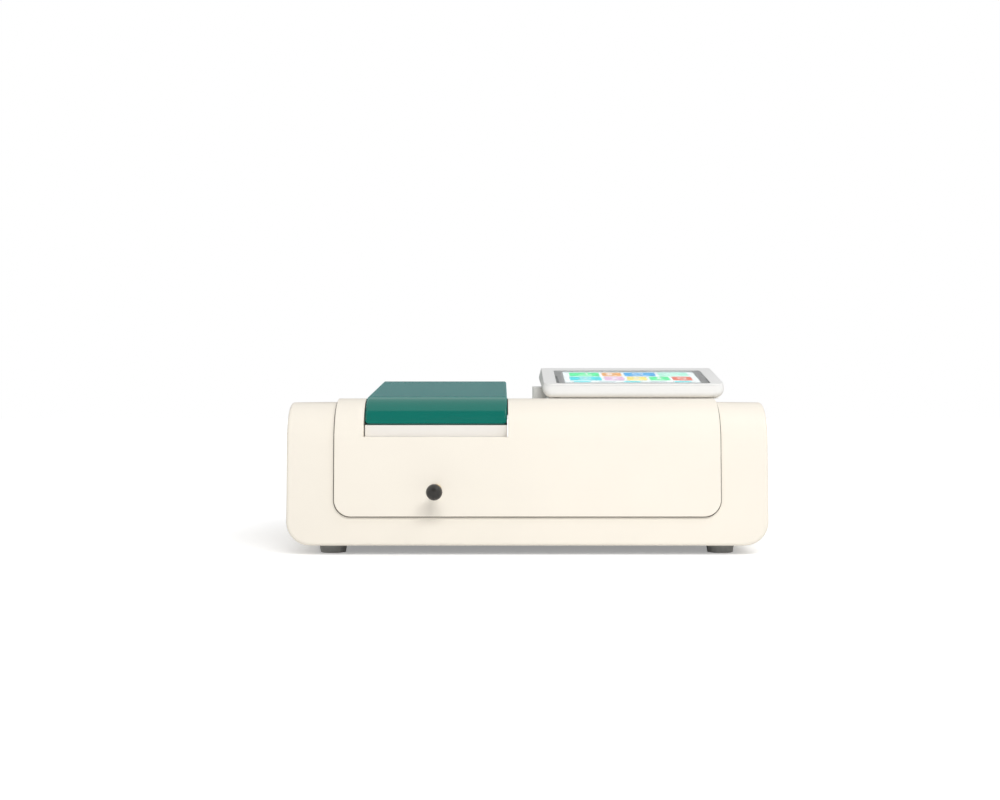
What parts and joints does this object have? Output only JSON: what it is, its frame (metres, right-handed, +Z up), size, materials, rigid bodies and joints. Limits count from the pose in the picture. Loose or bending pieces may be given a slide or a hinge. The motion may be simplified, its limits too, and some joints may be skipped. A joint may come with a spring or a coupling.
{
  "type": "double-beam uv-vis spectrophotometer",
  "caption": "Bench spectrophotometer in a cream moulded case with a green hinged sample lid, ball-ended cell changer rod, tilting touch display and its optics inside.",
  "frame": {"origin": "on the desk, under the middle of the outer box", "axes": "+X to the user's right, +Y to the rear, +Z up"},
  "size_m": [0.6, 0.478, 0.2373],
  "materials": {
    "cover_cream": "satin",
    "frame_grey": "satin",
    "lid_green": "gloss",
    "display_white": "satin",
    "black_plastic": "matt",
    "knob_black": "satin",
    "fan_black": "matt",
    "circuit_board": "satin",
    "screen": "gloss",
    "port_shell": "satin",
    "seal_rubber": "matt",
    "foot_rubber": "matt",
    "sheet_steel": "satin",
    "house_steel": "satin",
    "screw_steel": "satin",
    "rod_steel": "polished",
    "cast_bench": "cast",
    "black_anodised": "anodised",
    "bright_aluminium": "machined",
    "black_painted": "matt",
    "brass": "satin",
    "clear_glass": "polished",
    "screen_glass": "polished",
    "filter_glass": "polished",
    "mirror_coating": "polished",
    "white_plastic": "satin"
  },
  "bodies": {
    "instrument": {"main_cover": "cover_cream", "centre_cover": "cover_cream", "compartment_frame": "frame_grey", "lid_seal": "seal_rubber", "hinge_pins": "rod_steel", "optical_bench": "cast_bench", "damping_mounts": "foot_rubber", "sample_tub": "black_painted", "beam_windows": "clear_glass", "guide_brackets": "bright_aluminium", "guide_rods": "rod_steel", "rod_bushing": "brass", "reference_holder": "black_anodised", "display_cradle": "white_plastic", "base_pan": "sheet_steel", "rubber_feet": "foot_rubber", "foot_screws": "screw_steel", "cover_screws": "screw_steel", "rear_panel_screws": "screw_steel", "rear_panel": "sheet_steel", "fan_frame": "fan_black", "power_inlet": "black_plastic", "concave_mirrors": "mirror_coating", "fold_mirrors": "mirror_coating", "beam_splitter": "clear_glass", "mirror_mounts": "black_anodised", "lens_mounts": "black_anodised", "beam_lenses": "clear_glass", "beam_slits": "black_painted", "monochromator_walls": "black_painted", "grating_motor": "house_steel", "source_mirror_motor": "house_steel", "tungsten_lamp": "clear_glass", "deuterium_lamp": "clear_glass", "lamp_house": "house_steel", "filter_motor": "house_steel", "filter_motor_stand": "bright_aluminium", "detector_boards": "circuit_board", "detector_brackets": "bright_aluminium", "power_supply": "circuit_board", "main_board": "circuit_board", "data_ports": "port_shell"},
    "lid_assembly": {"lid": "lid_green", "lid_liner": "black_plastic"},
    "cell_changer": {"cell_carriage": "black_anodised", "pull_rod": "rod_steel", "ball_knob": "knob_black"},
    "display_unit": {"display_housing": "display_white", "display_bezel": "display_white", "touch_glass": "screen_glass", "lcd_panel": "screen", "display_board": "circuit_board"},
    "switch": {"power_rocker": "black_plastic"},
    "fan": {"fan_rotor": "fan_black"},
    "lamp_selector": {"source_mirror": "mirror_coating"},
    "filter_selector": {"filter_wheel": "black_anodised", "order_filters": "filter_glass"},
    "grating_drive": {"grating_table": "bright_aluminium", "grating": "mirror_coating"}
  },
  "joints": [
    {"name": "lid_hinge", "type": "hinge", "parent": "instrument", "child": "lid_assembly", "pos_m": [-0.114, 0.10239, 0.208], "axis": [-1, 0, 0], "range_deg": [0, 80]},
    {"name": "cell_slide", "type": "slide", "parent": "instrument", "child": "cell_changer", "axis": [0, -1, 0], "range_m": [0, 0.054]},
    {"name": "display_tilt", "type": "hinge", "parent": "instrument", "child": "display_unit", "pos_m": [0.1395, -0.11061, 0.203], "axis": [1, 0, 0], "range_deg": [0, 50]},
    {"name": "power_switch", "type": "hinge", "parent": "instrument", "child": "switch", "pos_m": [-0.215, 0.23489, 0.0795], "axis": [1, 0, 0], "range_deg": [0, 22]},
    {"name": "fan_spin", "type": "hinge", "parent": "instrument", "child": "fan", "pos_m": [0.185, 0.22239, 0.1], "axis": [0, 1, 0], "continuous": true},
    {"name": "source_mirror_turn", "type": "hinge", "parent": "instrument", "child": "lamp_selector", "pos_m": [0.2, 0.17539, 0.0613], "axis": [0, 0, 1], "range_deg": [0, 90]},
    {"name": "filter_wheel_turn", "type": "hinge", "parent": "instrument", "child": "filter_selector", "pos_m": [0.178, 0.11539, 0.078], "axis": [0, 1, 0], "continuous": true},
    {"name": "grating_turn", "type": "hinge", "parent": "instrument", "child": "grating_drive", "pos_m": [0.16, 0.04339, 0.0613], "axis": [0, 0, 1], "range_deg": [0, 43]}
  ]
}
